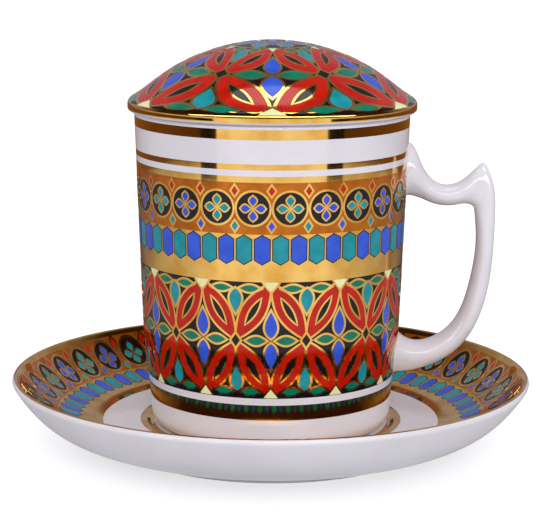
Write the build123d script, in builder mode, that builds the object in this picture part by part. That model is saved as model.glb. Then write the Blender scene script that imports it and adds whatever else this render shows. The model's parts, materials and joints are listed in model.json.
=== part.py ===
from build123d import *
from math import cos, radians, sin, sqrt
import os

# A lidded porcelain tea mug on its saucer, in millimetres.
# The origin lies on the table, under the saucer's axis. +Z is up, and the handle points to +X.

# Saucer: a deep coupe on a foot ring, with a shallow well for the mug
saucer_diameter = 160.0
saucer_height = 22.4
saucer_wall = 3.2
saucer_floor = 4.0
saucer_lip_radius = 1.1
saucer_lip_angle = 58.0  # degrees from level, where the wall meets the lip
saucer_foot_diameter = 94.0
saucer_foot_width = 4.0
saucer_foot_height = 1.8
saucer_foot_angle = 12.0  # degrees from level, where the wall leaves the foot ring
belly_out_share = 0.68  # where the wall turns up, between the foot ring and the lip
belly_up_share = 0.36
belly_angle = 34.0  # degrees from level
dish_diameter = 104.0  # level floor round the well
well_depth = 0.6
well_clearance = 1.0
well_step = 1.2

# Mug: a slightly tapered wall on a foot ring, standing in the well
seat_height = 7.0
mug_height = 97.0
mug_rim_diameter = 84.0
mug_base_diameter = 76.7
mug_wall = 3.0
mug_floor = 4.5
mug_base_radius = 4.0
mug_inside_radius = 9.0
mug_foot_width = 3.5
mug_foot_recess = 1.5
lip_round_share = 0.4  # of the wall, on each side of the lip

# Lid: a dome with a flared edge over the mug's lip, and a flange inside it
lid_rise = 21.2
lid_overhang = 2.1
lid_edge_height = 3.2
lid_edge_top_radius = 2.0
lid_edge_low_radius = 1.0
lid_wall = 3.0
lid_flare_width = 7.2
dome_rise = 12.9
flange_depth = 6.0
flange_width = 2.6
flange_radius = 0.8
flange_root_radius = 3.0
lid_clearance = 0.8

# Handle: stands out from the wall by its reach, between two roots
handle_reach = 28.1
handle_top_drop = 10.1  # from the rim down to the upper root's top
handle_base_rise = 16.0  # from the seat up to the lower root's underside
handle_root_width = 12.0
oval_share = 0.552  # pull of a quarter oval's ends towards its corner

# Sections of the handle: the outer end's share of the reach and of the height, the same for the
# inner end, and the section's share of the root's width.
arm_shares = (
    (-0.112, 1.006, -0.082, 0.698, 1.03),  # upper root, inside the wall
    (0.061, 0.989, 0.042, 0.776, 1.00),  # shoulder
    (0.153, 0.914, 0.186, 0.759, 0.90),
    (0.307, 0.838, 0.316, 0.739, 0.77),
    (0.465, 0.822, 0.473, 0.731, 0.73),  # dip that the thumb rests in
    (0.619, 0.846, 0.615, 0.739, 0.72),
    (0.725, 0.886, 0.715, 0.735, 0.65),
    (0.835, 0.891, 0.846, 0.705, 0.45),  # inside the grip
)
grip_shares = (
    (0.843, 0.919, 0.801, 0.913, 0.15),  # tip of the spur
    (0.932, 0.852, 0.739, 0.821, 0.63),
    (0.993, 0.649, 0.787, 0.626, 0.77),  # grip
    (0.954, 0.351, 0.745, 0.385, 0.78),
    (0.699, 0.113, 0.528, 0.189, 0.82),  # lower bend
    (0.285, 0.013, 0.252, 0.134, 0.93),
    (-0.105, -0.001, -0.130, 0.261, 1.07),  # lower root, inside the wall
)
grip_sections = 14

# Levels and radii worked out from the sizes above
mug_rim_radius = mug_rim_diameter / 2
mug_base_outer = mug_base_diameter / 2
mug_taper = (mug_rim_radius - mug_base_outer) / mug_height
mug_rim_level = seat_height + mug_height
mug_foot_outer = mug_base_outer - mug_base_radius
mug_foot_inner = mug_foot_outer - mug_foot_width
mug_lip_radius = lip_round_share * mug_wall


def wall_radius(level):
    """Outer radius of the mug's wall at a level above the table."""
    return mug_base_outer + mug_taper * (level - seat_height)


def corners(sketch, *points):
    """The sketch's corners nearest to the given points."""
    return [sketch.vertices().sort_by_distance(point)[0] for point in points]


# Saucer
saucer_radius = saucer_diameter / 2
saucer_underside = seat_height - saucer_floor
saucer_foot_outer = saucer_foot_diameter / 2
saucer_foot_inner = saucer_foot_outer - saucer_foot_width
dish_radius = dish_diameter / 2
dish_level = seat_height + well_depth
well_radius = mug_foot_outer + mug_base_radius / 2 + well_clearance

lip_slope = Vector(cos(radians(saucer_lip_angle)), sin(radians(saucer_lip_angle)))
lip_normal = Vector(lip_slope.Y, -lip_slope.X)
lip_centre = Vector(saucer_radius - saucer_lip_radius, saucer_height - saucer_lip_radius)
lip_outer = lip_centre + lip_normal * saucer_lip_radius
lip_inner = lip_centre - lip_normal * saucer_lip_radius
lip_tip = lip_centre + lip_slope * saucer_lip_radius

foot_slope = Vector(cos(radians(saucer_foot_angle)), sin(radians(saucer_foot_angle)))
foot_top = Vector(saucer_foot_outer, saucer_foot_height)
belly_outer = Vector(
    foot_top.X + belly_out_share * (saucer_radius - foot_top.X),
    foot_top.Y + belly_up_share * (saucer_height - foot_top.Y),
)
belly_inner = belly_outer + Vector(-sin(radians(belly_angle)), cos(radians(belly_angle))) * saucer_wall

with BuildPart() as saucer:
    with BuildSketch(Plane.XZ):
        with BuildLine():
            Polyline(
                (0, saucer_underside),
                (saucer_foot_inner, saucer_underside),
                (saucer_foot_inner, 0),
                (saucer_foot_outer, 0),
                foot_top,
            )
            Spline(foot_top, belly_outer, lip_outer, tangents=(foot_slope, lip_slope))
            ThreePointArc(lip_outer, lip_tip, lip_inner)
            Spline(
                lip_inner,
                belly_inner,
                (dish_radius, dish_level),
                tangents=(lip_slope * -1, (-1, 0)),
            )
            Polyline(
                (dish_radius, dish_level),
                (well_radius + well_step, dish_level),
                (well_radius, seat_height),
                (0, seat_height),
                (0, saucer_underside),
            )
        make_face()
    revolve(axis=Axis.Z)
saucer.part.label = "saucer"

# Mug body
with BuildPart() as mug_body:
    with BuildSketch(Plane.XZ) as mug_section:
        floor_level = seat_height + mug_floor
        base_corner = (mug_base_outer, seat_height)
        lip_corners = ((mug_rim_radius, mug_rim_level), (mug_rim_radius - mug_wall, mug_rim_level))
        floor_corner = (wall_radius(floor_level) - mug_wall, floor_level)
        with BuildLine():
            Polyline(
                (0, seat_height + mug_foot_recess),
                (mug_foot_inner, seat_height + mug_foot_recess),
                (mug_foot_inner, seat_height),
                base_corner,
                *lip_corners,
                floor_corner,
                (0, floor_level),
                close=True,
            )
        make_face()
        fillet(corners(mug_section, base_corner), mug_base_radius)
        fillet(corners(mug_section, *lip_corners), mug_lip_radius)
        fillet(corners(mug_section, floor_corner), mug_inside_radius)
    revolve(axis=Axis.Z)
mug_body.part.label = "mug_body"

# Lid
lid_radius = mug_rim_radius + lid_overhang
lid_top = mug_rim_level + lid_rise
dome_edge = lid_radius - lid_flare_width
dome_radius = (dome_edge**2 + dome_rise**2) / (2 * dome_rise)
dome_centre = lid_top - dome_radius
flange_bottom = mug_rim_level - flange_depth
flange_outer = wall_radius(flange_bottom) - mug_wall - lid_clearance
flange_inner = flange_outer - flange_width
hollow_radius = dome_radius - lid_wall
hollow_edge_level = dome_centre + sqrt(hollow_radius**2 - flange_inner**2)

with BuildPart() as lid:
    with BuildSketch(Plane.XZ) as lid_section:
        edge_top = (lid_radius, mug_rim_level + lid_edge_height)
        edge_low = (lid_radius, mug_rim_level)
        flange_ends = ((flange_outer, flange_bottom), (flange_inner, flange_bottom))
        hollow_edge = (flange_inner, hollow_edge_level)
        with BuildLine():
            dome = RadiusArc((0, lid_top), (dome_edge, lid_top - dome_rise), dome_radius)
            TangentArc(dome @ 1, edge_top, tangent=dome % 1)
            Polyline(edge_top, edge_low, (flange_outer, mug_rim_level), *flange_ends, hollow_edge)
            RadiusArc(hollow_edge, (0, lid_top - lid_wall), -hollow_radius)
            Line((0, lid_top - lid_wall), (0, lid_top))
        make_face()
        fillet(corners(lid_section, edge_top), lid_edge_top_radius)
        fillet(corners(lid_section, edge_low), lid_edge_low_radius)
        fillet(corners(lid_section, *flange_ends), flange_radius)
        fillet(corners(lid_section, hollow_edge), flange_root_radius)
    revolve(axis=Axis.Z)
lid.part.label = "lid"

# Handle
handle_low = seat_height + handle_base_rise
handle_top = mug_rim_level - handle_top_drop


def handle_point(out_share, up_share):
    """A point of the handle's outline, set out from the mug's wall at its own level."""
    level = handle_low + up_share * (handle_top - handle_low)
    return Vector(wall_radius(level) + out_share * handle_reach, 0, level)


def oval(outer, inner, width_share):
    """A section across the handle, from its inner end to its outer one, of four cubic quarters."""
    across = outer - inner
    half_depth = across.length / 2
    half_width = width_share * handle_root_width / 2
    with BuildSketch(Plane((outer + inner) / 2, x_dir=across, z_dir=(across.Z, 0, -across.X))) as section:
        with BuildLine():
            for end, side in ((1, 1), (-1, 1), (-1, -1), (1, -1)):
                Bezier(
                    (end * half_depth, 0),
                    (end * half_depth, oval_share * side * half_width),
                    (oval_share * end * half_depth, side * half_width),
                    (0, side * half_width),
                )
        make_face()
    return section.sketch


arm_ovals = [oval(handle_point(*row[0:2]), handle_point(*row[2:4]), row[4]) for row in arm_shares]

# Rails that the grip's sections run along, the last one carrying their widths
grip_outer = Spline(*[handle_point(*row[0:2]) for row in grip_shares])
grip_inner = Spline(*[handle_point(*row[2:4]) for row in grip_shares])
grip_width = Spline(*[(place, row[4]) for place, row in enumerate(grip_shares)])
grip_places = [step / grip_sections for step in range(grip_sections + 1)]
grip_ovals = [oval(grip_outer @ t, grip_inner @ t, (grip_width @ t).Y) for t in grip_places]

with BuildPart() as handle:
    loft(arm_ovals)
    with BuildLine() as grip_middle:
        Spline(*[(grip_outer @ t + grip_inner @ t) / 2 for t in grip_places])
    sweep(grip_ovals, path=grip_middle.line, multisection=True)
    # The roots end on the mug's wall
    with Locations((0, 0, seat_height)):
        Cone(
            mug_base_outer,
            mug_rim_radius,
            mug_height,
            align=(Align.CENTER, Align.CENTER, Align.MIN),
            mode=Mode.SUBTRACT,
        )
handle.part.label = "handle"

os.makedirs("parts", exist_ok=True)
for piece in (saucer, mug_body, handle, lid):
    export_step(piece.part, f"parts/{piece.part.label}.step")
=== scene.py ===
import bpy
import json
from math import atan2, cos, log, pi, radians, sin, sqrt, tan
from mathutils import Matrix, Vector
from mathutils.geometry import interpolate_bezier

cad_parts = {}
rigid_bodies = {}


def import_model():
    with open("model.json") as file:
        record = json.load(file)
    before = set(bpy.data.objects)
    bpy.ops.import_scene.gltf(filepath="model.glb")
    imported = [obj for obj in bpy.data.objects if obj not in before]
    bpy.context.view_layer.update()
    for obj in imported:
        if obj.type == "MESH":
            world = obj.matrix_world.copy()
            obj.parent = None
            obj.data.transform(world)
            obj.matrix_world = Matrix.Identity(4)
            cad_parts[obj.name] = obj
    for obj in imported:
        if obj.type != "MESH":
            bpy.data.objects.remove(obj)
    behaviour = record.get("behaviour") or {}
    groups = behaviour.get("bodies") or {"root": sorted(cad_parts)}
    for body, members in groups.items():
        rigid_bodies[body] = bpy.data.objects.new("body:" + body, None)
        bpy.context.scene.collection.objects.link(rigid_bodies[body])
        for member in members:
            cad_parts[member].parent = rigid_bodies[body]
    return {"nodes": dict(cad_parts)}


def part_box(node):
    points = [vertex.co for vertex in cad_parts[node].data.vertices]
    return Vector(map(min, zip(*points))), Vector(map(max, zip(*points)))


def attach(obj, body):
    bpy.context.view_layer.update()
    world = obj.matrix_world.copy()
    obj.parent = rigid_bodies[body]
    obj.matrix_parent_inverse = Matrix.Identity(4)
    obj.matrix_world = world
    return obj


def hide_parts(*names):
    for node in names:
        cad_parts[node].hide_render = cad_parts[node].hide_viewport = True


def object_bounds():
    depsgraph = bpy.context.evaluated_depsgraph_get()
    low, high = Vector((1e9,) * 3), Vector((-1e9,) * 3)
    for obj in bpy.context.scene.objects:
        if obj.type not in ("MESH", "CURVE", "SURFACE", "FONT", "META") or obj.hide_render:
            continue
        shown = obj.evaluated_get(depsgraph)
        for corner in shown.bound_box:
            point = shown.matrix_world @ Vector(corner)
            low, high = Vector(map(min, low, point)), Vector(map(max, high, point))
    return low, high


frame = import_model()
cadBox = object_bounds()
mm = 0.001  # the dictionaries below are in millimetres, Blender in metres
roundSteps = 192  # facets round every thrown piece and every band on it
creaseAngle = 40  # degrees, past which an edge stays sharp
weldGap = 0.0005  # points of a spun line nearer than this become one
print("frame loaded:", sorted(frame["nodes"]))


# lines in section, as (distance from the axis, height)

def arc(centre, start, turn, steps):
    spoke = Vector(start) - Vector(centre)
    return [Vector(centre) + Matrix.Rotation(turn * step / steps, 2) @ spoke for step in range(steps + 1)]


def turnBetween(start, end):
    return atan2(start.cross(end), start.dot(end))


def heading(degrees):
    return Vector((cos(radians(degrees)), sin(radians(degrees))))


def rightOf(way):
    return Vector((way.y, -way.x))


def softCorners(corners, steps=6):
    # corners are (across, up, rounding), and a rounding becomes an arc that both sides run into
    line = []
    for index, (across, up, rounding) in enumerate(corners):
        here = Vector((across, up))
        if rounding == 0:
            line.append(here)
            continue
        back = (Vector(corners[index - 1][:2]) - here).normalized()
        ahead = (Vector(corners[index + 1][:2]) - here).normalized()
        half = back.angle(ahead) / 2
        start = here + back * rounding / tan(half)
        end = here + ahead * rounding / tan(half)
        centre = here + (back + ahead).normalized() * rounding / sin(half)
        line += arc(centre, start, turnBetween(start - centre, end - centre), steps)
    return line


def bentLine(first, middle, last, firstWay, lastWay, steps):
    # smooth line through three points, with its direction given at both ends
    spanA = (middle - first).length
    spanB = (last - middle).length
    pull = 3 * ((middle - first) / spanA**2 + (last - middle) / spanB**2)
    middleWay = (pull - firstWay / spanA - lastWay / spanB) / (2 / spanA + 2 / spanB)
    line = []
    for start, startWay, end, endWay, span in (
        (first, firstWay, middle, middleWay, spanA),
        (middle, middleWay, last, lastWay, spanB),
    ):
        leave = start + startWay * span / 3
        arrive = end - endWay * span / 3
        line += interpolate_bezier(start, leave, arrive, end, steps)[:-1]
    return line + [last]


def spreadLine(line, gap):
    # more points on the straight stretches, so that bands and shading run evenly
    spread = [line[0]]
    for point in line[1:]:
        start = spread[-1]
        count = max(1, round((point - start).length / gap))
        spread += [start.lerp(point, step / count) for step in range(1, count + 1)]
    return spread


def spin(name, line):
    # one vertex drawn along the line, then spun round the axis
    bpy.ops.object.select_all(action="DESELECT")
    bpy.ops.mesh.primitive_plane_add(size=mm)
    piece = bpy.context.object
    piece.name = piece.data.name = name
    bpy.ops.object.mode_set(mode="EDIT")
    bpy.ops.mesh.select_all(action="SELECT")
    bpy.ops.mesh.merge(type="CENTER")
    bpy.ops.transform.translate(value=(line[0].x * mm, 0, line[0].y * mm))
    for start, end in zip(line, line[1:]):
        step = ((end.x - start.x) * mm, 0, (end.y - start.y) * mm)
        bpy.ops.mesh.extrude_vertices_move(TRANSFORM_OT_translate={"value": step})
    bpy.ops.mesh.select_all(action="SELECT")
    bpy.ops.mesh.spin(steps=roundSteps, angle=2 * pi, center=(0, 0, 0), axis=(0, 0, 1))
    bpy.ops.mesh.select_all(action="SELECT")
    bpy.ops.mesh.remove_doubles(threshold=weldGap * mm)
    bpy.ops.mesh.normals_make_consistent(inside=False)
    bpy.ops.object.mode_set(mode="OBJECT")
    bpy.ops.object.shade_smooth_by_angle(angle=radians(creaseAngle))
    return piece


def finishPiece(piece, material, body, slot, *nodes):
    piece.data.materials.clear()
    piece.data.materials.append(material)
    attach(piece, body)
    if nodes:
        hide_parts(*nodes)


# materials

def linear(code):
    parts = [int(code[place:place + 2], 16) / 255 for place in (1, 3, 5)]
    return [p / 12.92 if p <= 0.04045 else ((p + 0.055) / 1.055) ** 2.4 for p in parts] + [1]


def addNode(tree, kind, settings={}, links={}):
    # settings name a socket or a property, links name a socket and where it comes from,
    # and sockets that share a name go by their number
    node = tree.nodes.new(kind)
    for key, value in settings.items():
        if isinstance(key, int) or key in node.inputs:
            node.inputs[key].default_value = value
        else:
            setattr(node, key, value)
    for key, (source, output) in links.items():
        tree.links.new(source.outputs[output], node.inputs[key])
    return node


def newTree(name):
    material = bpy.data.materials.new(name)
    material.use_nodes = True
    material.node_tree.nodes.clear()
    return material, material.node_tree


def colourSteps(ramp, *steps):
    # a ramp has two steps already, so the rest are added
    while len(ramp.color_ramp.elements) < len(steps):
        ramp.color_ramp.elements.new(1)
    for element, (place, colour) in zip(ramp.color_ramp.elements, steps):
        element.position = place
        element.color = colour


def firedSurface(tree, look, settings, wide, fine):
    # tint and gloss drift together in wide patches, and a fine grain lifts the surface
    patch = addNode(tree, "ShaderNodeTexNoise",
                    {"Scale": 1 / (look["patch"] * mm), "Detail": look["patchDetail"]}, {"Vector": wide})
    tint = addNode(tree, "ShaderNodeValToRGB", {}, {"Fac": (patch, "Fac")})
    colourSteps(tint, *zip(look["tintSteps"], [linear(code) for code in look["tints"]]))
    roughFirst, roughLast = look["roughness"]
    gloss = addNode(tree, "ShaderNodeMapRange", {"To Min": roughFirst, "To Max": roughLast},
                    {"Value": (patch, "Fac")})
    grain = addNode(tree, "ShaderNodeTexNoise",
                    {"Scale": 1 / (look["grain"] * mm), "Detail": look["grainDetail"]}, {"Vector": fine})
    bump = addNode(tree, "ShaderNodeBump",
                   {"Strength": look["grainStrength"], "Distance": look["grainHeight"] * mm},
                   {"Height": (grain, "Fac")})
    shader = addNode(tree, "ShaderNodeBsdfPrincipled", settings, {
        "Base Color": (tint, "Color"),
        "Roughness": (gloss, "Result"),
        "Normal": (bump, "Normal"),
    })
    addNode(tree, "ShaderNodeOutputMaterial", {}, {"Surface": (shader, "BSDF")})


porcelainLook = {
    "tints": ("#D3CFD7", "#DDDAE2"),  # where the glaze gathered in the kiln, and where it is thin
    "tintSteps": (0.3, 0.7),
    "roughness": (0.05, 0.11),
    "patch": 26.0,
    "patchDetail": 3,
    "grain": 3.5,  # the faint wave of a glaze that has run
    "grainDetail": 1,
    "grainHeight": 0.012,
    "grainStrength": 0.5,
    "ior": 1.52,
}


def glazedPorcelain():
    # hard porcelain under a clear glaze: cool white, wet gloss, a faint wave in its highlights
    material, tree = newTree("glazed_porcelain")
    place = (addNode(tree, "ShaderNodeTexCoord"), "Object")
    firedSurface(tree, porcelainLook, {"IOR": porcelainLook["ior"]}, place, place)
    return material


goldLook = {
    "tints": ("#DCA244", "#F0C26C"),  # worn, and bright
    "tintSteps": (0.3, 0.62),
    "roughness": (0.13, 0.04),
    "patch": 7.0,  # patches that the burnisher went over more or less
    "patchDetail": 4,
    "grain": 0.5,  # width of its strokes, coarser than life so that they show
    "grainDetail": 2,
    "grainHeight": 0.004,
    "grainStrength": 0.4,
    "stretch": (0.15, 0.15, 1),  # draws the strokes out level
}


def burnishedGold():
    # liquid gold, fired on and burnished with a cloth: a warm mirror with faint strokes round the piece
    material, tree = newTree("burnished_gold")
    place = (addNode(tree, "ShaderNodeTexCoord"), "Object")
    stroke = addNode(tree, "ShaderNodeMapping", {"Scale": goldLook["stretch"]}, {"Vector": place})
    firedSurface(tree, goldLook, {"Metallic": 1}, place, (stroke, "Vector"))
    return material


# enamels, each as the colour where the film is thin, where it is thick, and its lustre
enamelLooks = {
    "red": ("#BE1A06", "#A81003", 0),
    "blue": ("#3258D0", "#2849BE", 0),
    "teal": ("#17919E", "#107E8B", 0),
    "green": ("#04795F", "#00674F", 0),
    "black": ("#1C1211", "#120A0A", 0),
    "cream": ("#E6E6B4", "#D8DAA2", 0),
    "amber": ("#BF6C1B", "#A3560F", 0.55),
}
enamelGrain = {
    "tintSteps": (0.32, 0.66),
    "roughness": (0.05, 0.14),
    "patch": 4.0,  # where the brush left it thick
    "patchDetail": 4,
    "grain": 0.22,  # specks of the ground glass, coarser than life so that they show
    "grainDetail": 2,
    "grainHeight": 0.006,
    "grainStrength": 0.35,
    "ior": 1.55,
    "specular": 0.24,
}


def overglazeEnamel(colour):
    # ground glass painted over the glaze and fired: strong colour, uneven where the brush left it thick
    thin, thick, lustre = enamelLooks[colour]
    look = {**enamelGrain, "tints": (thick, thin)}
    material, tree = newTree("overglaze_enamel_" + colour)
    place = (addNode(tree, "ShaderNodeTexCoord"), "Object")
    settings = {"IOR": look["ior"], "Specular IOR Level": look["specular"], "Metallic": lustre}
    firedSurface(tree, look, settings, place, place)
    return material


porcelain = glazedPorcelain()
finishes = {colour: overglazeEnamel(colour) for colour in enamelLooks}
finishes["gold"] = burnishedGold()
finishSlots = {colour: "overglaze_enamel" for colour in enamelLooks}
finishSlots["gold"] = finishSlots["amber"] = "gold_lustre"
print("materials ready:", len(finishes) + 1)

# saucer: a deep coupe on a foot ring
saucerSizes = {
    "lip": 1.1,
    "lipAngle": 58,
    "wall": 3.2,
    "floor": 4.0,
    "footRadius": 47.0,
    "footWidth": 4.0,
    "footHeight": 1.8,
    "footAngle": 12,
    "bellyOut": 0.68,
    "bellyUp": 0.36,
    "bellyAngle": 34,
    "dishRadius": 52.0,
    "dishLevel": 7.6,
    "wellRadius": 37.35,
    "wellLevel": 7.0,
    "wellStep": 1.2,
    "soft": 0.7,  # how far glaze and sponge round the edges of the foot ring
    "gap": 1.2,
    "wallSteps": 16,
    "lipSteps": 12,
}
film = 0.1  # decoration stands this far proud at most, so the bare body is that much smaller


def saucerLines():
    size = saucerSizes
    low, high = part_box("saucer")
    radius = (high.x - low.x) / 2 / mm - film
    height = high.z / mm - film
    lipSlope = heading(size["lipAngle"])
    lipCentre = Vector((radius - size["lip"], height - size["lip"]))
    lipOuter = lipCentre + rightOf(lipSlope) * size["lip"]
    lipInner = lipCentre - rightOf(lipSlope) * size["lip"]
    footTop = Vector((size["footRadius"], size["footHeight"]))
    belly = Vector((footTop.x + size["bellyOut"] * (radius - footTop.x),
                    footTop.y + size["bellyUp"] * (height - footTop.y)))
    bellyInner = belly - rightOf(heading(size["bellyAngle"])) * size["wall"]
    dishEdge = Vector((size["dishRadius"], size["dishLevel"]))
    footInner = size["footRadius"] - size["footWidth"]
    under = size["wellLevel"] - size["floor"]
    foot = softCorners((
        (0, under, 0),
        (footInner, under, size["soft"]),
        (footInner, 0, size["soft"]),
        (size["footRadius"], 0, size["soft"]),
        (footTop.x, footTop.y, 0),
    ))
    outside = bentLine(footTop, belly, lipOuter, heading(size["footAngle"]), lipSlope, size["wallSteps"])
    lip = arc(lipCentre, lipOuter, pi, size["lipSteps"])
    inside = bentLine(lipInner, bellyInner, dishEdge, -lipSlope, Vector((-1, 0)), size["wallSteps"])
    well = softCorners((
        (dishEdge.x, dishEdge.y, 0),
        (size["wellRadius"] + size["wellStep"], size["dishLevel"], size["soft"]),
        (size["wellRadius"], size["wellLevel"], size["soft"]),
        (0, size["wellLevel"], 0),
    ))
    outer = spreadLine(foot + outside[1:] + lip[1:], size["gap"])
    inner = spreadLine(inside + well[1:], size["gap"])
    brink = lip[len(lip) // 4:]  # the decoration inside starts over the lip
    return outer + inner[1:], brink + inner[1:]


saucerLine, saucerInside = saucerLines()
saucer = spin("saucer_porcelain", saucerLine)
finishPiece(saucer, porcelain, "saucer", "white_glaze", "saucer")
print("saucer:", len(saucer.data.polygons), "faces")

# mug body: slightly wider towards the lip, and drawn in towards the foot
mugSizes = {
    "seat": 7.0,
    "baseRadius": 38.35,
    "rimRadius": 42.0,
    "wall": 3.0,
    "floor": 4.5,
    "baseRound": 4.0,
    "insideRound": 9.0,
    "footWidth": 3.5,
    "footRecess": 1.5,
    "footRound": 0.6,
    "lipRound": 1.2,
    "drawIn": 1.5,  # how far the foot leaves the straight taper, between these heights
    "drawFrom": 38.0,
    "drawTo": 9.0,
    "drawPower": 1.4,  # the higher, the softer it leaves it
    "wallTop": 102.7,  # just under the rounding of the lip
    "gap": 1.5,
}
mugLevels = range(12, 40, 2)  # heights where the drawn-in wall bends
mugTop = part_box("mug_body")[1].z / mm
mugTaper = (mugSizes["rimRadius"] - mugSizes["baseRadius"]) / (mugTop - mugSizes["seat"])


def straightRadius(level):
    return mugSizes["baseRadius"] + mugTaper * (level - mugSizes["seat"])


def mugRadius(level):
    # the wall leaves its straight line softly
    share = (mugSizes["drawFrom"] - level) / (mugSizes["drawFrom"] - mugSizes["drawTo"])
    share = min(max(share, 0), 1)
    return straightRadius(level) - mugSizes["drawIn"] * sin(share * pi / 2)**mugSizes["drawPower"]


def mugLine():
    size = mugSizes
    seat = size["seat"]
    floor = seat + size["floor"]
    footInner = size["baseRadius"] - size["baseRound"] - size["footWidth"]
    return spreadLine(softCorners((
        (0, seat + size["footRecess"], 0),
        (footInner, seat + size["footRecess"], size["footRound"]),
        (footInner, seat, size["footRound"]),
        (mugRadius(seat), seat, size["baseRound"]),
        *[(mugRadius(level), level, 0) for level in mugLevels],
        (size["rimRadius"], mugTop, size["lipRound"]),
        (size["rimRadius"] - size["wall"], mugTop, size["lipRound"]),
        (straightRadius(floor) - size["wall"], floor, size["insideRound"]),
        (0, floor, 0),
    )), size["gap"])


mug = spin("mug_porcelain", mugLine())
finishPiece(mug, porcelain, "mug", "white_glaze", "mug_body")
print("mug body:", len(mug.data.polygons), "faces")

# lid: a dome with a flared edge, and a flange that drops inside the lip
lidSizes = {
    "seat": 104.0,
    "edgeHeight": 3.2,
    "edgeTopRound": 2.0,
    "edgeLowRound": 1.0,
    "wall": 3.0,
    "flare": 7.2,
    "flareShare": 0.8,  # of the flare's turn, and the rounding of the edge has the rest
    "domeRise": 12.9,
    "flangeOuter": 37.97,
    "flangeWidth": 2.6,
    "flangeDepth": 6.0,
    "flangeRound": 0.8,
    "rootDrop": 1.8,  # the flange runs into the hollow from this far down to this far in
    "rootReach": 1.5,
    "gap": 1.2,
    "domeSteps": 40,
    "flareSteps": 8,
    "hollowSteps": 30,
}


def lidLines():
    size = lidSizes
    low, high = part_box("lid")
    radius = (high.x - low.x) / 2 / mm - film
    top = high.z / mm - film
    domeEdge = Vector((radius - size["flare"], top - size["domeRise"]))
    domeRadius = (domeEdge.x**2 + size["domeRise"]**2) / (2 * size["domeRise"])
    centre = Vector((0, top - domeRadius))
    dome = arc(centre, (0, top), -atan2(domeEdge.x, domeEdge.y - centre.y), size["domeSteps"])
    # the flare leaves the dome in its own direction and turns slowly outwards
    edgeTop = Vector((radius, size["seat"] + size["edgeHeight"]))
    inward = (centre - domeEdge).normalized()
    reach = edgeTop - domeEdge
    flareRadius = reach.length_squared / (2 * reach.dot(inward))
    flareCentre = domeEdge + inward * flareRadius
    turn = turnBetween(domeEdge - flareCentre, edgeTop - flareCentre)
    flare = arc(flareCentre, domeEdge, turn * size["flareShare"], size["flareSteps"])
    flangeInner = size["flangeOuter"] - size["flangeWidth"]
    flangeLow = size["seat"] - size["flangeDepth"]
    hollowRadius = domeRadius - size["wall"]
    hollowLevel = centre.y + sqrt(hollowRadius**2 - flangeInner**2)
    edge = softCorners((
        (flare[-1].x, flare[-1].y, 0),
        (edgeTop.x, edgeTop.y, size["edgeTopRound"]),
        (radius, size["seat"], size["edgeLowRound"]),
        (size["flangeOuter"], size["seat"], 0),
    ))
    flange = softCorners((
        (size["flangeOuter"], size["seat"], 0),
        (size["flangeOuter"], flangeLow, size["flangeRound"]),
        (flangeInner, flangeLow, size["flangeRound"]),
        (flangeInner, hollowLevel - size["rootDrop"], 0),
    ))
    hollowStart = Vector((flangeInner - size["rootReach"], 0))
    hollowStart.y = centre.y + sqrt(hollowRadius**2 - hollowStart.x**2)
    hollowTurn = turnBetween(hollowStart - centre, Vector((0, 1)))
    hollow = arc(centre, hollowStart, hollowTurn, size["hollowSteps"])
    outside = spreadLine(dome + flare[1:] + edge[1:-1], size["gap"])
    return outside + flange + hollow, outside[::-1]


lidLine, lidTopLine = lidLines()
lid = spin("lid_porcelain", lidLine)
finishPiece(lid, porcelain, "lid", "white_glaze", "lid")
print("lid:", len(lid.data.polygons), "faces")

# handle: the cast shape, joined to a pad under the wall's skin, so that slip fills the corner between them
handleSizes = {
    "voxel": 0.45,
    "weld": 0.001,
    "smoothing": 7,
    "smoothFactor": 0.5,
    "padHalf": 11.0,
    "padLow": 17.0,
    "padHigh": 100.0,
    "padGrid": (24, 60),
    "padDepth": 2.0,
    "padSink": 0.05,
    "feather": 0.45,  # slip thinner than this runs out under the glaze of the wall
    "spurZone": 15.0,  # the spur's tip is the highest point this near to the grip's outer side
    "spurTip": 1.45,  # radius of the ball that blunts it
    "spurLean": 0.6,  # how far in from the tip the ball sits
    "spurDivisions": 4,
    "flareReach": 10.0,  # the roots spread round the wall from this far out
    "flareLow": 0.36,
    "flareHigh": 0.16,
}
padMiddle = (handleSizes["padLow"] + handleSizes["padHigh"]) / 2


def addRootPad():
    size = handleSizes
    columns, rows = size["padGrid"]
    bpy.ops.mesh.primitive_grid_add(x_subdivisions=columns, y_subdivisions=rows, size=2)
    pad = bpy.context.object
    for vertex in pad.data.vertices:
        level = padMiddle + vertex.co.y * (size["padHigh"] - padMiddle)
        radius = mugRadius(level) - size["padSink"]
        angle = vertex.co.x * size["padHalf"] / radius
        vertex.co = Vector((radius * cos(angle), radius * sin(angle), level)) * mm
    thick = pad.modifiers.new("wall", "SOLIDIFY")
    thick.thickness = size["padDepth"] * mm
    thick.offset = -1
    bpy.ops.object.modifier_apply(modifier=thick.name)
    return pad


def addSpurTip(mesh):
    # a ball that blunts the tip of the spur
    size = handleSizes
    outer = max(vertex.co.x for vertex in mesh.vertices) - size["spurZone"] * mm
    tip = max((vertex.co for vertex in mesh.vertices if vertex.co.x > outer), key=lambda place: place.z)
    radius = size["spurTip"] * mm
    place = tip - Vector((size["spurLean"] * mm, 0, radius))
    bpy.ops.mesh.primitive_ico_sphere_add(subdivisions=size["spurDivisions"], radius=radius, location=place)
    return bpy.context.object


def seatRoots(piece):
    # the root's end follows the wall where it draws in
    for vertex in piece.data.vertices:
        level = vertex.co.z / mm
        radius = vertex.co.xy.length / mm
        if radius < straightRadius(level) + handleSizes["padSink"]:
            vertex.co.xy *= mugRadius(level) / radius


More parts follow.
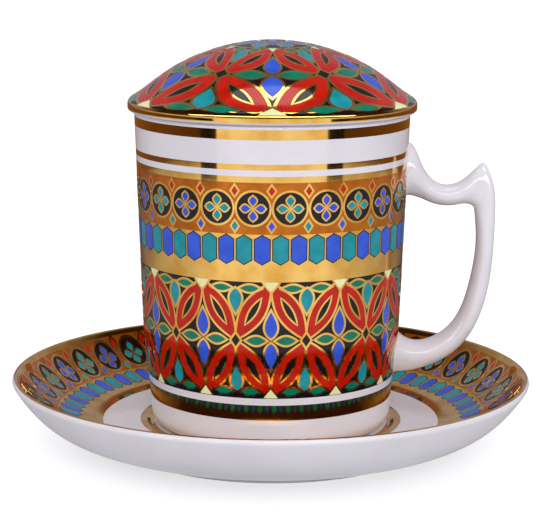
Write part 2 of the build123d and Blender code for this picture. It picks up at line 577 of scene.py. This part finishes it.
def flareRoots(piece):
    size = handleSizes
    for vertex in piece.data.vertices:
        level = vertex.co.z / mm
        proud = vertex.co.xy.length / mm - mugRadius(level)
        if proud < size["flareReach"]:
            share = 1 - max(proud, 0) / size["flareReach"]
            flare = size["flareLow"] if level < padMiddle else size["flareHigh"]
            spread = atan2(vertex.co.y, vertex.co.x) * flare * share**2
            vertex.co.xy = Matrix.Rotation(spread, 2) @ vertex.co.xy


def featherRoots(piece):
    # what lies on the wall or barely over it is drawn under the wall's skin
    size = handleSizes
    for vertex in piece.data.vertices:
        radius = vertex.co.xy.length / mm
        proud = radius - mugRadius(vertex.co.z / mm)
        if -size["padDepth"] / 2 < proud < size["feather"]:
            share = 1 - max(proud, 0) / size["feather"]
            vertex.co.xy *= (radius - size["feather"] * share**2) / radius


def softHandle():
    size = handleSizes
    bpy.ops.object.select_all(action="DESELECT")
    node = frame["nodes"]["handle"]
    pad = addRootPad()
    ball = addSpurTip(node.data)
    piece = bpy.data.objects.new("handle_porcelain", node.data.copy())
    bpy.context.collection.objects.link(piece)
    seatRoots(piece)
    for part in (piece, pad, ball):
        part.select_set(True)
    bpy.context.view_layer.objects.active = piece
    bpy.ops.object.join()
    bpy.ops.object.mode_set(mode="EDIT")
    bpy.ops.mesh.select_all(action="SELECT")
    bpy.ops.mesh.remove_doubles(threshold=size["weld"] * mm)
    bpy.ops.object.mode_set(mode="OBJECT")
    remesh = piece.modifiers.new("clay", "REMESH")
    remesh.mode = "VOXEL"
    remesh.voxel_size = size["voxel"] * mm
    bpy.ops.object.modifier_apply(modifier=remesh.name)
    smooth = piece.modifiers.new("sponge", "SMOOTH")
    smooth.iterations = size["smoothing"]
    smooth.factor = size["smoothFactor"]
    bpy.ops.object.modifier_apply(modifier=smooth.name)
    flareRoots(piece)
    featherRoots(piece)
    bpy.ops.object.shade_smooth()
    return piece


handle = softHandle()
finishPiece(handle, porcelain, "mug", "white_glaze", "handle")
print("handle:", len(handle.data.polygons), "faces")

# decoration: thin fired films that follow the porcelain, each level a little prouder than the last
filmLevels = {"ground": 0.012, "line": 0.04, "enamel": 0.055, "bead": 0.07, "tooth": 0.085, "top": 0.098}
filmSink = 0.03  # films start this far under the glaze, so none stands off it
filmWeld = 0.002  # points of a film nearer than this become one
borderLap = 0.4  # of a border's width, which reaches under the shape that it goes round
tipBlunt = 0.45  # the higher, the shorter a border's sharp tips


def surfaceAt(surface, mark):
    # the point of a surface at a mark, and the way out of it
    line, marks = surface["line"], surface["marks"]
    for start, end, startMark, endMark in zip(line, line[1:], marks, marks[1:]):
        if min(startMark, endMark) <= mark <= max(startMark, endMark) and startMark != endMark:
            way = (end - start).normalized()
            share = (mark - startMark) / (endMark - startMark)
            return start.lerp(end, share), rightOf(way)
    raise ValueError(f"{surface['name']} has nothing at {mark}")


def addBand(surface, part, colour, low, high, level="ground"):
    # the section of a band, out along its skin and back under the glaze, spun round the axis
    inside = [mark for mark in surface["marks"] if low < mark < high]
    places = [surfaceAt(surface, mark) for mark in sorted([low, *inside, high])]
    skin = [point + out * filmLevels[level] for point, out in places]
    back = [point - out * filmSink for point, out in reversed(places)]
    piece = spin(f"{surface['name']}_{part}_{colour}", skin + back + skin[:1])
    finishPiece(piece, finishes[colour], surface["name"], finishSlots[colour])


def grown(outline, width):
    # the outline moved outwards, with its points kept short at sharp tips
    count = len(outline)
    moved = []
    for index, here in enumerate(outline):
        outA = rightOf((here - outline[index - 1]).normalized())
        outB = rightOf((outline[(index + 1) % count] - here).normalized())
        moved.append(here + (outA + outB) * width / max(tipBlunt, 1 + outA.dot(outB)))
    return moved


def disc(centre, radius, steps):
    return arc(centre, Vector(centre) + Vector((radius, 0)), 2 * pi * (steps - 1) / steps, steps - 1)


def polygon(centre, *corners):
    return [Vector(centre) + Vector(corner) for corner in corners]


def lozenge(centre, halfWidth, halfHeight):
    return polygon(centre, (0, -halfHeight), (halfWidth, 0), (0, halfHeight), (-halfWidth, 0))


def leaf(start, bend, end, width, fattest, steps, columns=2):
    # rows across a leaf from its stalk to its tip, each from its right edge to its left one
    start, bend, end = Vector(start), Vector(bend), Vector(end)
    power = log(0.5) / log(fattest)
    rows = []
    for step in range(steps + 1):
        t = step / steps
        rib = start * (1 - t)**2 + bend * 2 * t * (1 - t) + end * t**2
        way = ((bend - start) * (1 - t) + (end - bend) * t).normalized()
        half = -rightOf(way) * width / 2 * sin(pi * t**power)
        rows.append([rib + half * (2 * column / columns - 1) for column in range(columns + 1)])
    return rows


def leafOutline(rows):
    return [row[0] for row in rows] + [row[-1] for row in reversed(rows[1:-1])]


def flatPiece(points):
    piece = bpy.context.object
    for vertex, point in zip(piece.data.vertices, points):
        vertex.co = (point.x, point.y, 0)
    piece.data.update()
    if piece.data.polygons[0].normal.z < 0:
        piece.data.flip_normals()
    return piece


def addPatch(outline, cuts=0):
    # a filled shape, cut finer where it is large enough to bend round the piece
    bpy.ops.mesh.primitive_circle_add(vertices=len(outline), fill_type="TRIFAN")
    middle = sum(outline, Vector((0, 0))) / len(outline)
    piece = flatPiece([middle, *outline])
    if cuts:
        bpy.ops.object.mode_set(mode="EDIT")
        bpy.ops.mesh.subdivide(number_cuts=cuts)
        bpy.ops.object.mode_set(mode="OBJECT")
    return piece


def addLeaf(rows):
    columns = len(rows[0])
    bpy.ops.mesh.primitive_grid_add(x_subdivisions=len(rows) - 1, y_subdivisions=columns - 1)
    return flatPiece([row[column] for column in range(columns) for row in rows])


def addBorder(outline, width):
    # a line round a shape, which reaches a little under it
    bpy.ops.mesh.primitive_circle_add(vertices=len(outline), fill_type="NOTHING")
    bpy.ops.object.mode_set(mode="EDIT")
    bpy.ops.mesh.select_all(action="SELECT")
    bpy.ops.mesh.extrude_edges_move()
    bpy.ops.object.mode_set(mode="OBJECT")
    return flatPiece(grown(outline, -width * borderLap) + grown(outline, width))


def trimFlat(surface, limits):
    # cut where the porcelain bends, so that the film bends there too, and trimmed to the band it belongs to
    low, high = limits
    bpy.ops.object.mode_set(mode="EDIT")
    for mark in [low, *surface["marks"], high]:
        if low <= mark <= high:
            bpy.ops.mesh.select_all(action="SELECT")
            bpy.ops.mesh.bisect(plane_co=(0, mark, 0), plane_no=(0, 1, 0),
                                clear_inner=mark == low, clear_outer=mark == high)
    bpy.ops.object.mode_set(mode="OBJECT")


def fireFilms(surface, part, cellWidth, copies, limits, films):
    # films are (colour, level, flat pieces of one cell), and each colour is wrapped and set round the piece
    made = []
    for colour, level, pieces in films:
        bpy.ops.object.select_all(action="DESELECT")
        for piece in pieces:
            piece.select_set(True)
        piece = pieces[0]
        bpy.context.view_layer.objects.active = piece
        if len(pieces) > 1:
            bpy.ops.object.join()
        piece.name = piece.data.name = f"{surface['name']}_{part}_{colour}"
        trimFlat(surface, limits)
        for vertex in piece.data.vertices:
            point, out = surfaceAt(surface, vertex.co.y)
            point = point + out * filmLevels[level]
            angle = vertex.co.x / cellWidth * 2 * pi / copies
            vertex.co = Vector((point.x * sin(angle), -point.x * cos(angle), point.y)) * mm
        bpy.ops.object.mode_set(mode="EDIT")
        bpy.ops.mesh.select_all(action="SELECT")
        bpy.ops.mesh.remove_doubles(threshold=filmWeld * mm)
        if surface["marks"][0] > surface["marks"][-1]:
            bpy.ops.mesh.flip_normals()
        bpy.ops.object.mode_set(mode="OBJECT")
        thick = piece.modifiers.new("film", "SOLIDIFY")
        thick.thickness = (filmLevels[level] + filmSink) * mm
        thick.offset = -1
        bpy.ops.object.modifier_apply(modifier=thick.name)
        bpy.ops.object.mode_set(mode="EDIT")
        bpy.ops.mesh.select_all(action="SELECT")
        bpy.ops.mesh.spin(steps=copies - 1, dupli=True, angle=2 * pi * (copies - 1) / copies,
                          center=(0, 0, 0), axis=(0, 0, 1))
        bpy.ops.object.mode_set(mode="OBJECT")
        bpy.ops.object.shade_smooth_by_angle(angle=radians(creaseAngle))
        finishPiece(piece, finishes[colour], surface["name"], finishSlots[colour])
        made.append(piece)
    print(surface["name"], part, sum(len(piece.data.polygons) for piece in made), "faces")


def wayAlong(line):
    marks = [0]
    for start, end in zip(line, line[1:]):
        marks.append(marks[-1] + (end - start).length)
    return marks


# marks are heights on the mug, radii in the saucer and on the lid's crown,
# and the way up from the lower edge on the lid's skirt
mugMarks = [*mugLevels, mugSizes["wallTop"]]
mugSurface = {"name": "mug", "line": [Vector((mugRadius(z), z)) for z in mugMarks], "marks": mugMarks}
saucerSurface = {"name": "saucer", "line": saucerInside, "marks": [point.x for point in saucerInside]}
lidCrown = {"name": "lid", "line": lidTopLine, "marks": [point.x for point in lidTopLine]}
lidSkirt = {"name": "lid", "line": lidTopLine, "marks": wayAlong(lidTopLine)}
rosetteRadius = 13.2
trellisReach = 13.6  # over the dome from its top, to under the ring round the rosette
goldEdgeTop = 3.6  # of the gold round the lid's edge, where the trellis starts
lidTrellis = (goldEdgeTop, lidSkirt["marks"][-1] - trellisReach)

# plain bands, as colour, lower mark, upper mark, and level where it isn't the ground
mugBands = {
    "rim": ("gold", 99.7, 102.6),
    "hair": ("gold", 91.0, 92.7),
    "head": ("gold", 87.4, 89.2),
    "roundels": ("amber", 72.3, 87.4),
    "waist": ("gold", 58.3, 72.3),
    "trellis": ("black", 23.1, 58.3),
    "foot": ("gold", 16.3, 21.0),
}
saucerBands = {
    "well": ("gold", 36.2, 40.6),
    "floor": ("gold", 52.2, 66.4),
    "roundels": ("amber", 66.4, 77.2),
    "rim": ("gold", 77.2, 79.35),
}
crownBands = {
    "boss": ("gold", 0, 2.3),
    "rosette": ("black", 2.3, rosetteRadius),
    "ring": ("gold", 12.8, 13.7, "line"),
}
skirtBands = {
    "trellis": ("black", *lidTrellis),
    "edge": ("gold", 1.2, goldEdgeTop),
}
for surface, bands in (
    (mugSurface, mugBands),
    (saucerSurface, saucerBands),
    (lidCrown, crownBands),
    (lidSkirt, skirtBands),
):
    for part, band in bands.items():
        addBand(surface, part, *band)
print("plain bands done")

# roundels over a row of jewels, round the mug and round the saucer
roundelSizes = {
    "line": 0.45,
    "ringSteps": 28,
    "petalLength": 0.76,  # of the roundel's radius
    "petalStart": 0.12,  # of the petal's length
    "petalWidth": 2.4,
    "petalFattest": 0.6,
    "petalSteps": 6,
    "petalLine": 0.315,
    "seedHalf": (1.15, 1.7),
    "seedLine": 0.36,
    "jewelShoulder": 0.7,  # of the jewel's half height
    "jewelLine": 0.3,
}
roundelRows = {
    "mug": {
        "copies": 12,
        "cell": 21.5,
        "limits": (62.9, 87.4),
        "middle": 79.9,
        "radius": 4.95,
        "seedUp": 85.0,
        "seedDown": 74.7,
        "jewel": 67.8,
        "jewelHalf": (2.2, 4.2),
    },
    "saucer": {
        "copies": 20,
        "cell": 22.6,
        "limits": (58.4, 77.2),
        "middle": 71.9,
        "radius": 4.6,
        "seedUp": 75.5,
        "seedDown": 68.2,
        "jewel": 62.4,
        "jewelHalf": (2.1, 3.3),
    },
}


def addRoundels(surface):
    size = {**roundelSizes, **roundelRows[surface["name"]]}
    pitch = size["cell"] / 2
    lines, edges, blue, teal, red, black, beads = [], [], [], [], [], [], []
    for side, colour in ((-0.5, blue), (0.5, teal)):
        centre = Vector((side * pitch, size["middle"]))
        ring = disc(centre, size["radius"], size["ringSteps"])
        black.append(addPatch(ring, cuts=2))
        lines.append(addBorder(ring, size["line"]))
        for quarter in range(4):
            reach = Matrix.Rotation(quarter * pi / 2, 2) @ Vector((0, size["radius"] * size["petalLength"]))
            petal = leaf(centre + reach * size["petalStart"], centre + reach / 2, centre + reach,
                         size["petalWidth"], size["petalFattest"], size["petalSteps"])
            colour.append(addLeaf(petal))
            beads.append(addBorder(leafOutline(petal), size["petalLine"]))
        # two jewels under each roundel, of the two colours in turn
        for step, jewelColour in ((-0.25, teal), (0.25, blue)):
            halfWidth, halfHeight = size["jewelHalf"]
            shoulder = halfHeight * size["jewelShoulder"]
            jewel = polygon(
                (centre.x + step * pitch, size["jewel"]),
                (0, -halfHeight), (halfWidth, -shoulder), (halfWidth, shoulder),
                (0, halfHeight), (-halfWidth, shoulder), (-halfWidth, -shoulder),
            )
            jewelColour.append(addPatch(jewel, cuts=1))
            edges.append(addBorder(jewel, size["jewelLine"]))
    for place, up, down in ((0, red, blue), (1, red, teal)):
        for height, colour in ((size["seedUp"], up), (size["seedDown"], down)):
            seed = lozenge((place * pitch, height), *size["seedHalf"])
            colour.append(addPatch(seed))
            lines.append(addBorder(seed, size["seedLine"]))
    fireFilms(surface, "roundels", size["cell"], size["copies"], size["limits"], (
        ("black", "line", black + edges),
        ("blue", "enamel", blue),
        ("teal", "enamel", teal),
        ("red", "enamel", red),
        ("gold", "bead", lines),
    ))
    fireFilms(surface, "petals", size["cell"], size["copies"], size["limits"], (("gold", "top", beads),))


addRoundels(mugSurface)
addRoundels(saucerSurface)

# trellis of crossing leaves, with a four-pointed star in each opening, round the mug and over the lid
trellisSizes = {
    "heartEnds": (0.27, 0.73),  # along the leaf that holds it
    "heartLine": 0.8,  # of the other lines' width
    "sideStart": 1.1,  # how far from the middle of a star its leaves start
    "spearStart": 0.6,
    "spearFattest": 0.4,
    "edgeGap": 0.6,  # how far half stars stand in from the edge
    "edgeSpearStart": 1.2,  # and how far from there their leaves start
    "edgeSideStart": (0.9, 1.3),
    "edgeSideWidth": 0.8,  # of a whole star's leaf
}
trellisRows = {
    "mug": {
        "copies": 12,
        "cell": 20.7,
        "low": 23.3,
        "high": 58.3,
        "line": 0.44,
        "leaf": 6.8,
        "heart": 2.0,
        "spear": 3.9,
        "spearReach": 9.0,
        "side": 2.9,
        "sideReach": 7.6,
        "edgeSideReach": 0.86,  # of a whole star's leaf
        "node": (1.5, 2.2),
        "tooth": (2.4, 3.0),
    },
    "lid": {
        "copies": 6,
        "cell": 31.0,
        "low": lidTrellis[0],
        "high": lidTrellis[1],
        "line": 0.5,
        "leaf": 9.6,
        "heart": 2.6,
        "spear": 5.6,
        "spearReach": 10.2,
        "side": 4.2,
        "sideReach": 11.4,
        "edgeSideReach": 0.72,
        "node": (2.2, 2.4),
        "tooth": (3.0, 3.2),
    },
}


def addTrellis(surface):
    size = {**trellisSizes, **trellisRows[surface["name"]]}
    half = size["cell"] / 2
    low, high = size["low"], size["high"]
    middle = (low + high) / 2
    gold, hearts, red, blue, teal, green, black, cream, knots = [], [], [], [], [], [], [], [], []

    def enamelLeaf(colour, start, end, width, fattest=0.5, steps=12, columns=4):
        rows = leaf(start, Vector(start).lerp(Vector(end), 0.5), end, width, fattest, steps, columns)
        colour.append(addLeaf(rows))
        gold.append(addBorder(leafOutline(rows), size["line"]))

    for side in (-1, 1):
        knot = Vector((side * half, middle))
        for root in (Vector((0, low)), Vector((0, high))):
            enamelLeaf(red, root, knot, size["leaf"], steps=16, columns=8)
            heartStart, heartEnd = [root.lerp(knot, share) for share in size["heartEnds"]]
            heart = leaf(heartStart, root.lerp(knot, 0.5), heartEnd, size["heart"], fattest=0.5, steps=8)
            black.append(addLeaf(heart))
            hearts.append(addBorder(leafOutline(heart), size["line"] * size["heartLine"]))
        sideEnds = [(side * reach, middle) for reach in (size["sideStart"], size["sideReach"])]
        enamelLeaf(green, *sideEnds, size["side"])
        spearEnds = [(0, middle + side * reach) for reach in (size["spearStart"], size["spearReach"])]
        enamelLeaf(blue, *spearEnds, size["spear"], size["spearFattest"])
    # half stars along both edges, about the side that the next cell shares
    for edge, inward in ((low, 1), (high, -1)):
        root = Vector((half, edge + inward * size["edgeGap"]))
        spearStart = root + Vector((0, inward * size["edgeSpearStart"]))
        spearEnd = root + Vector((0, inward * size["spearReach"]))
        enamelLeaf(teal, spearStart, spearEnd, size["spear"], size["spearFattest"])
        out, up = size["edgeSideStart"]
        for side in (-1, 1):
            start = root + Vector((side * out, inward * up))
            end = start + Vector((side * size["sideReach"] * size["edgeSideReach"], 0))
            enamelLeaf(green, start, end, size["side"] * size["edgeSideWidth"])
        width, depth = size["tooth"]
        tooth = [Vector((-width, edge)), Vector((width, edge)), Vector((0, edge + inward * depth))]
        tooth = tooth[::inward]  # both edges' outlines run the same way round
        cream.append(addPatch(tooth, cuts=3))
        hearts.append(addBorder(tooth, size["line"]))
    knot = lozenge((half, middle), *size["node"])
    knots.append(addPatch(knot, cuts=2))
    hearts.append(addBorder(knot, size["line"]))
    fireFilms(surface, "trellis", size["cell"], size["copies"], (low, high), (
        ("red", "line", red),
        ("blue", "line", blue),
        ("teal", "line", teal),
        ("green", "line", green),
        ("gold", "enamel", gold),
    ))
    fireFilms(surface, "hearts", size["cell"], size["copies"], (low, high), (
        ("black", "bead", black),
        ("cream", "tooth", cream),
        ("gold", "top", hearts),
    ))
    fireFilms(surface, "knots", size["cell"], size["copies"], (low, high), (("black", "tooth", knots),))


addTrellis(mugSurface)
addTrellis(lidSkirt)

# rosette on the crown of the lid, with its leaves as start, end and width
rosetteSizes = {
    "copies": 8,
    "cell": 5.5,
    "limits": (0, rosetteRadius),
    "blue": (2.3, 9.6, 4.2),
    "teal": (6.0, 12.6, 3.3),
    "fattest": 0.55,
    "steps": 8,
    "line": 0.4,
}


def addRosette():
    size = rosetteSizes
    gold, blue, teal = [], [], []
    for colour, place, leafSize in ((blue, 0, size["blue"]), (teal, size["cell"] / 2, size["teal"])):
        start, end, width = leafSize
        middle = (place, (start + end) / 2)
        rows = leaf((place, start), middle, (place, end), width, size["fattest"], size["steps"])
        colour.append(addLeaf(rows))
        gold.append(addBorder(leafOutline(rows), size["line"]))
    fireFilms(lidCrown, "rosette", size["cell"], size["copies"], size["limits"], (
        ("teal", "line", teal),
        ("blue", "enamel", blue),
        ("gold", "bead", gold),
    ))


addRosette()

# studio: pale floor, soft light, and the camera where the photograph was taken
studio = {
    "floorSize": 16000.0,
    "floorColour": "#C9C9CC",
    "floorRoughness": 0.9,
    "floorSpecular": 0.1,
    "floorGlow": 0.42,  # what a lit backdrop adds, to the eye and to gloss alone
    "shadowLift": 0.2,  # and to the eye alone, so that the shadow stays faint
    "daylight": 0.9,  # strength of the white tent that lights the object
    "room": "#33200F",  # what gloss sees overhead and in front
    "backdrop": "#A3A0AC",  # and behind the object
    "roomSteps": (0.15, 0.75),  # between the two, by how far back it looks
    "cardRadius": 320.0,
    "cardHeight": 80.0,
    "cardSteps": 12,
    "cards": (  # from and to in degrees from the front, the lower edge, and the colours at both ends
        (43.5, 57.5, 26.0, "#1A0E08", "#1A0E08"),
        (57.5, 172, 36.0, "#50321A", "#8A6238"),
    ),
    "dim": "#4C2C14",  # painted reflection: gloss sees this dark brown glow in place of the floor, by degrees from the front and share
    "dimSteps": ((42, 0), (65, 0.32), (105, 0.55), (150, 0.92)),
    "lamps": (  # name, place, size and power of lamps that show in gloss and don't light the glaze
        ("overhead", (0, 40, 820), (420, 210), 0.9),
        ("front", (0, -640, 390), (3100, 130), 7.4),
    ),
    "fillPlace": (160, -1000, 460),  # the way that the fill light comes from
    "fillPower": 1.3,
    "fillSpread": 30,  # degrees across, as the object sees it
    "cameraReach": 602.9,
    "cameraHeight": 169.45,
    "cameraYaw": 0.045,
    "cameraPitch": 10.425,
    "cameraRoll": 0.35,
    "lens": 131.06,
    "sensor": 36.0,
}


def addFloor():
    bpy.ops.object.select_all(action="DESELECT")
    bpy.ops.mesh.primitive_plane_add(size=studio["floorSize"] * mm)
    floor = bpy.context.object
    floor.name = "floor"
    material, tree = newTree("painted_board")
    rays = addNode(tree, "ShaderNodeLightPath")
    glow = addNode(tree, "ShaderNodeMapRange", {"To Min": studio["floorGlow"], "To Max": 0},
                   {"Value": (rays, "Is Diffuse Ray")})
    lift = addNode(tree, "ShaderNodeMath", {"operation": "MULTIPLY_ADD", 1: studio["shadowLift"]},
                   {0: (rays, "Is Camera Ray"), 2: (glow, "Result")})
    board = addNode(tree, "ShaderNodeBsdfPrincipled", {
        "Base Color": linear(studio["floorColour"]),
        "Roughness": studio["floorRoughness"],
        "Specular IOR Level": studio["floorSpecular"],
        "Emission Color": (1, 1, 1, 1),
    }, {"Emission Strength": (lift, "Value")})
    # the front of the floor is half way round this gradient
    place = addNode(tree, "ShaderNodeTexCoord")
    turned = addNode(tree, "ShaderNodeMapping", {"Rotation": (0, 0, pi / 2)}, {"Vector": (place, "Object")})
    around = addNode(tree, "ShaderNodeTexGradient", {"gradient_type": "RADIAL"},
                     {"Vector": (turned, "Vector")})
    lost = addNode(tree, "ShaderNodeValToRGB", {}, {"Fac": (around, "Fac")})
    sides = [(0.5 - angle / 360, share) for angle, share in reversed(studio["dimSteps"])]
    sides += [(0.5 + angle / 360, share) for angle, share in studio["dimSteps"]]
    colourSteps(lost, *[(spot, (share, share, share, 1)) for spot, share in sides])
    # painted reflection: glossy rays see the dark brown glow in place of the lit floor, more of it towards
    # the sides
    seen = addNode(tree, "ShaderNodeMath", {"operation": "MULTIPLY"},
                   {0: (rays, "Is Glossy Ray"), 1: (lost, "Color")})
    dim = addNode(tree, "ShaderNodeEmission", {"Color": linear(studio["dim"]), "Strength": 1})
    both = addNode(tree, "ShaderNodeMixShader", {},
                   {"Fac": (seen, "Value"), 1: (board, "BSDF"), 2: (dim, "Emission")})
    addNode(tree, "ShaderNodeOutputMaterial", {}, {"Surface": (both, "Shader")})
    floor.data.materials.append(material)


def addWorld():
    world = bpy.data.worlds.new("studio")
    bpy.context.scene.world = world
    world.use_nodes = True
    tree = world.node_tree
    tree.nodes.clear()
    rays = addNode(tree, "ShaderNodeLightPath")
    cloth = addNode(tree, "ShaderNodeMapRange", {"To Min": studio["daylight"], "To Max": 1},
                    {"Value": (rays, "Is Camera Ray")})
    tent = addNode(tree, "ShaderNodeBackground", {"Color": (1, 1, 1, 1)}, {"Strength": (cloth, "Result")})
    way = addNode(tree, "ShaderNodeTexCoord")
    back = addNode(tree, "ShaderNodeSeparateXYZ", {}, {"Vector": (way, "Generated")})
    dusk = addNode(tree, "ShaderNodeValToRGB", {}, {"Fac": (back, "Y")})
    shades = [linear(studio["room"]), linear(studio["backdrop"])]
    colourSteps(dusk, *zip(studio["roomSteps"], shades))
    room = addNode(tree, "ShaderNodeBackground", {"Strength": 1}, {"Color": (dusk, "Color")})
    # light that the gold throws on to the glaze still comes from the tent
    direct = addNode(tree, "ShaderNodeMath", {"operation": "LESS_THAN", 1: 0.5},
                     {0: (rays, "Diffuse Depth")})
    gloss = addNode(tree, "ShaderNodeMath", {"operation": "MULTIPLY"},
                    {0: (rays, "Is Glossy Ray"), 1: (direct, "Value")})
    both = addNode(tree, "ShaderNodeMixShader", {},
                   {"Fac": (gloss, "Value"), 1: (tent, "Background"), 2: (room, "Background")})
    addNode(tree, "ShaderNodeOutputWorld", {}, {"Surface": (both, "Shader")})


def addCards():
    # dark cards round the sides, which only gloss sees, so that the gold gets its dark edges
    radius = studio["cardRadius"]
    for start, end, low, first, last in studio["cards"]:
        for side in (-1, 1):
            bpy.ops.object.select_all(action="DESELECT")
            bpy.ops.mesh.primitive_grid_add(x_subdivisions=studio["cardSteps"], y_subdivisions=1, size=2)
            card = bpy.context.object
            card.name = f"card_{start}_{'left' if side < 0 else 'right'}"
            for vertex in card.data.vertices:
                angle = side * radians(start + (end - start) * (vertex.co.x + 1) / 2)
                height = low + (studio["cardHeight"] - low) * (vertex.co.y + 1) / 2
                vertex.co = Vector((radius * sin(angle), -radius * cos(angle), height)) * mm
            material, tree = newTree(card.name)
            place = addNode(tree, "ShaderNodeTexCoord")
            across = addNode(tree, "ShaderNodeSeparateXYZ", {}, {"Vector": (place, "UV")})
            shade = addNode(tree, "ShaderNodeValToRGB", {}, {"Fac": (across, "X")})
            colourSteps(shade, (0, linear(first)), (1, linear(last)))
            glow = addNode(tree, "ShaderNodeEmission", {"Strength": 1}, {"Color": (shade, "Color")})
            addNode(tree, "ShaderNodeOutputMaterial", {}, {"Surface": (glow, "Emission")})
            card.data.materials.append(material)
            card.visible_camera = card.visible_diffuse = card.visible_shadow = False


def addLamp(name, kind, place, power):
    data = bpy.data.lights.new(name, kind)
    data.energy = power
    lamp = bpy.data.objects.new(name, data)
    bpy.context.scene.collection.objects.link(lamp)
    place = Vector(place) * mm
    aim = Vector((0, 0, cadBox[1].z / 2)) - place
    lamp.matrix_world = Matrix.Translation(place) @ aim.to_track_quat("-Z", "Y").to_matrix().to_4x4()
    return lamp


def addLamps():
    for name, place, (width, height), power in studio["lamps"]:
        lamp = addLamp(name, "AREA", place, power)
        lamp.data.shape = "RECTANGLE"
        lamp.data.size = width * mm
        lamp.data.size_y = height * mm
        lamp.visible_diffuse = False
    fill = addLamp("fill", "SUN", studio["fillPlace"], studio["fillPower"])
    fill.data.angle = radians(studio["fillSpread"])
    fill.visible_glossy = False


def addCamera():
    data = bpy.data.cameras.new("camera")
    data.lens = studio["lens"]
    data.sensor_width = studio["sensor"]
    camera = bpy.data.objects.new("camera", data)
    bpy.context.scene.collection.objects.link(camera)
    yaw = radians(studio["cameraYaw"])
    pitch = radians(studio["cameraPitch"])
    roll = radians(studio["cameraRoll"])
    ahead = Vector((sin(yaw) * cos(pitch), cos(yaw) * cos(pitch), -sin(pitch)))
    level = Vector((cos(yaw), -sin(yaw), 0))
    upright = level.cross(ahead)
    right = level * cos(roll) + upright * sin(roll)
    up = upright * cos(roll) - level * sin(roll)
    place = Vector((0, -studio["cameraReach"], studio["cameraHeight"])) * mm
    facing = Matrix((right, up, -ahead)).transposed().to_4x4()
    camera.matrix_world = Matrix.Translation(place) @ facing
    bpy.context.scene.camera = camera


addFloor()
addWorld()
addCards()
addLamps()
addCamera()
bpy.context.scene.view_settings.view_transform = "Standard"
print("studio ready")
